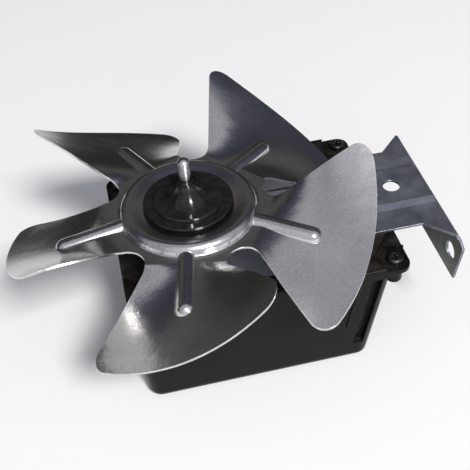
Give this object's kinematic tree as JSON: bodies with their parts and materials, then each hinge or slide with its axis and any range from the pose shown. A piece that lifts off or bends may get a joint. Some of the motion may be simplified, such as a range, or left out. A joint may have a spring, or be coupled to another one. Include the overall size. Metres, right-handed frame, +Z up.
{
  "type": "freezer fan motor",
  "caption": "Shaded-pole fan motor in a closed box housing, with a strap bracket on its lid and a stamped pitched-blade fan on the shaft.",
  "frame": {"origin": "where the motor's axis meets the flat underside of the housing", "axes": "+Z up the shaft, +X along the long side of the housing towards the bracket's end flange, -Y the front"},
  "size_m": [0.2104, 0.172, 0.1195],
  "materials": {
    "fan_aluminium": "polished",
    "hub_plastic": "gloss",
    "shaft_steel": "ground",
    "core_steel": "plain",
    "cage_aluminium": "as cast",
    "washer_plastic": "matte",
    "bearing_bronze": "sintered",
    "cast_bracket": "as cast",
    "felt": "matte",
    "plated_steel": "plated",
    "copper": "enamelled",
    "bobbin_plastic": "matte",
    "tab_brass": "plain",
    "housing_plastic": "satin",
    "bracket_steel": "zinc plated",
    "grommet_rubber": "matte"
  },
  "bodies": {
    "motor": {"front_bearing": "bearing_bronze", "rear_bearing": "bearing_bronze", "front_bearing_bracket": "cast_bracket", "rear_bearing_bracket": "cast_bracket", "front_oil_felt": "felt", "rear_oil_felt": "felt", "front_bearing_retainer": "plated_steel", "rear_bearing_retainer": "plated_steel", "stator_core": "core_steel", "coil_yoke": "core_steel", "shading_rings": "copper", "coil_bobbin": "bobbin_plastic", "coil_winding": "copper", "terminal_tabs": "tab_brass", "motor_screws": "plated_steel", "housing_body": "housing_plastic", "housing_lid": "housing_plastic", "lid_screws": "plated_steel", "mounting_bracket": "bracket_steel", "bracket_screws": "plated_steel", "cable_grommet": "grommet_rubber"},
    "rotor": {"fan_blades": "fan_aluminium", "fan_hub": "hub_plastic", "rotor_shaft": "shaft_steel", "rotor_core": "core_steel", "rotor_cage": "cage_aluminium", "thrust_washers": "washer_plastic"}
  },
  "joints": [
    {"name": "fan_spin", "type": "hinge", "parent": "motor", "child": "rotor", "pos_m": [0, 0, 0.0905], "axis": [0, 0, 1], "continuous": true}
  ]
}
